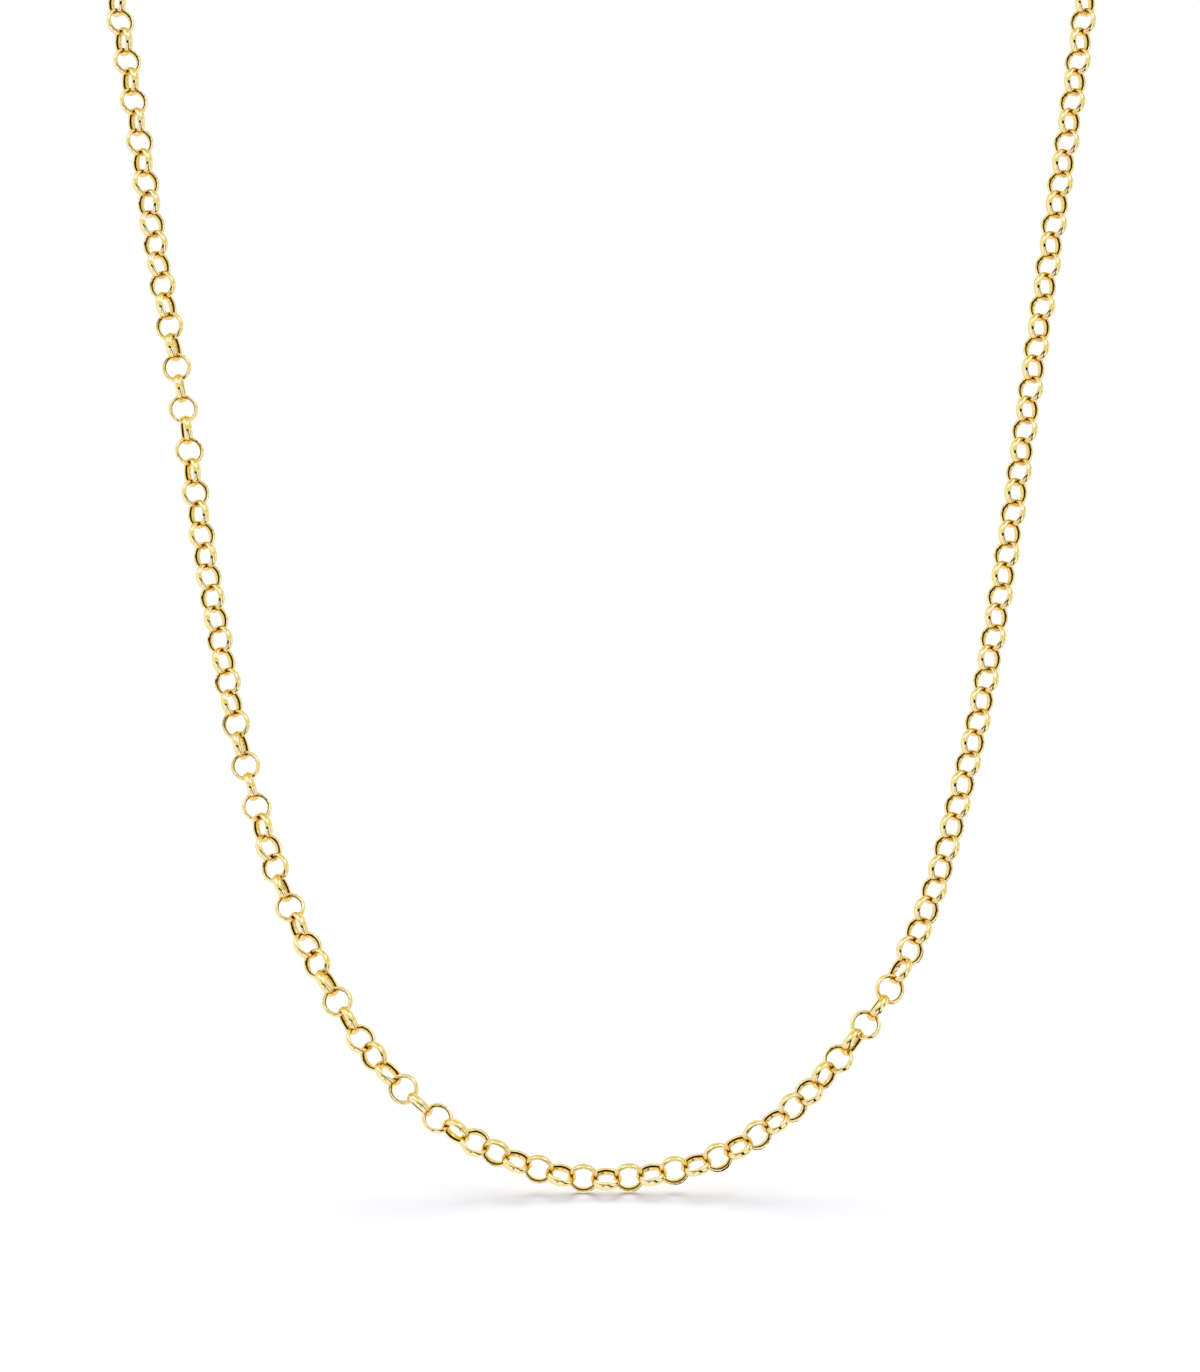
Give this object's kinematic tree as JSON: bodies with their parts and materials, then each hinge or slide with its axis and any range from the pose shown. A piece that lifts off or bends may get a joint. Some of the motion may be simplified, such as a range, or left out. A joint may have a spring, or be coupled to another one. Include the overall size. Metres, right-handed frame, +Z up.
{
  "type": "rolo chain necklace",
  "caption": "Necklace of round interlocking links in polished yellow gold: a closed loop that hangs from the neck in a deep U, with a plain ring clasp at the nape.",
  "frame": {"origin": "on the line of the chain at the back of the neck, where the necklace hangs", "axes": "+Z up, the front of the necklace faces -Y, +X is to the right of someone who looks at its front"},
  "size_m": [0.1061, 0.1168, 0.1361],
  "materials": {
    "gold": "polished"
  },
  "bodies": {
    "root": {"chain_left": "gold", "chain_right": "gold", "clasp": "gold", "end_ring": "gold"}
  },
  "joints": []
}
